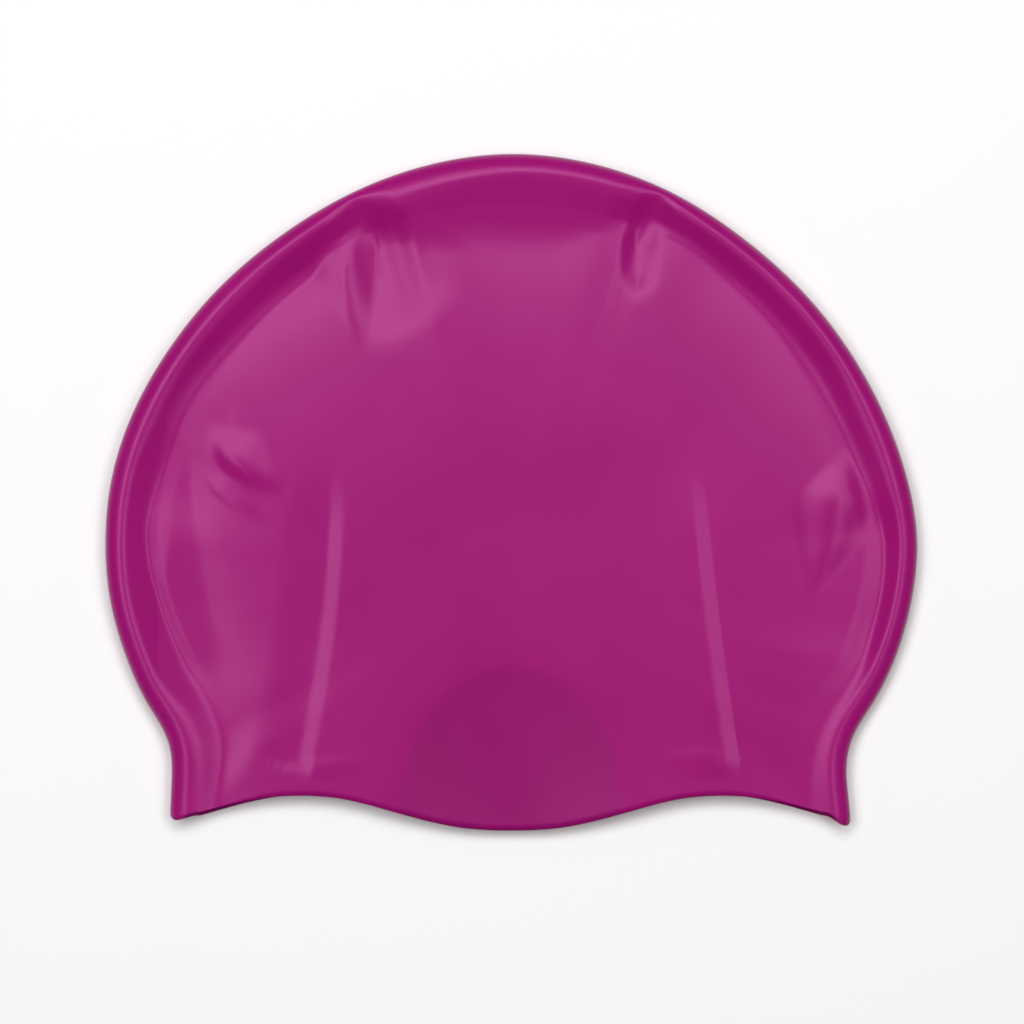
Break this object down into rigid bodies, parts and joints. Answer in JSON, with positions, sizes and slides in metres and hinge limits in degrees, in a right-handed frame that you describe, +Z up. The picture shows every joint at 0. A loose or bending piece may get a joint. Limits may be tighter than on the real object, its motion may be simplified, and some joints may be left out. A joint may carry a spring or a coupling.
{
  "type": "swim cap",
  "caption": "Adult moulded silicone swim cap lying flat on its side: a thin one-piece dome with a rolled fold, moulded ribs, crown dents and a wavy open mouth.",
  "frame": {"origin": "centre of the flat cap's outline, on the surface it lies on", "axes": "+Y from the mouth to the crown, +X to the right seen from above, +Z up through the two walls"},
  "size_m": [0.225, 0.1876, 0.0103],
  "materials": {
    "cap_shell": "satin"
  },
  "bodies": {
    "root": {"cap_shell": "cap_shell"}
  },
  "joints": []
}
